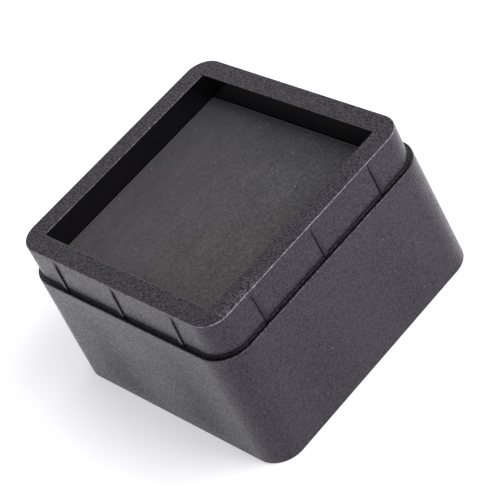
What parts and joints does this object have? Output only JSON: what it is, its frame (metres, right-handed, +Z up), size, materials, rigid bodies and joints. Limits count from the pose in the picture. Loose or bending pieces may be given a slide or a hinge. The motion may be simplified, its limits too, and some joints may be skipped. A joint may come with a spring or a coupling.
{
  "type": "bed riser",
  "caption": "Low square stackable bed riser: a hollow ribbed plastic block with a stepped collar and a padded square leg recess in its top.",
  "frame": {"origin": "middle of the foot, on the floor", "axes": "+Z up; the four sides face +X, -X, +Y and -Y"},
  "size_m": [0.1016, 0.1016, 0.0623],
  "materials": {
    "riser_plastic": "black moulded polypropylene with a fine spark-eroded grain",
    "pad_rubber": "dark brown-grey closed-cell rubber foam, matt, faintly mottled"
  },
  "bodies": {
    "root": {"riser_body": "riser_plastic", "leg_pad": "pad_rubber"}
  },
  "joints": []
}
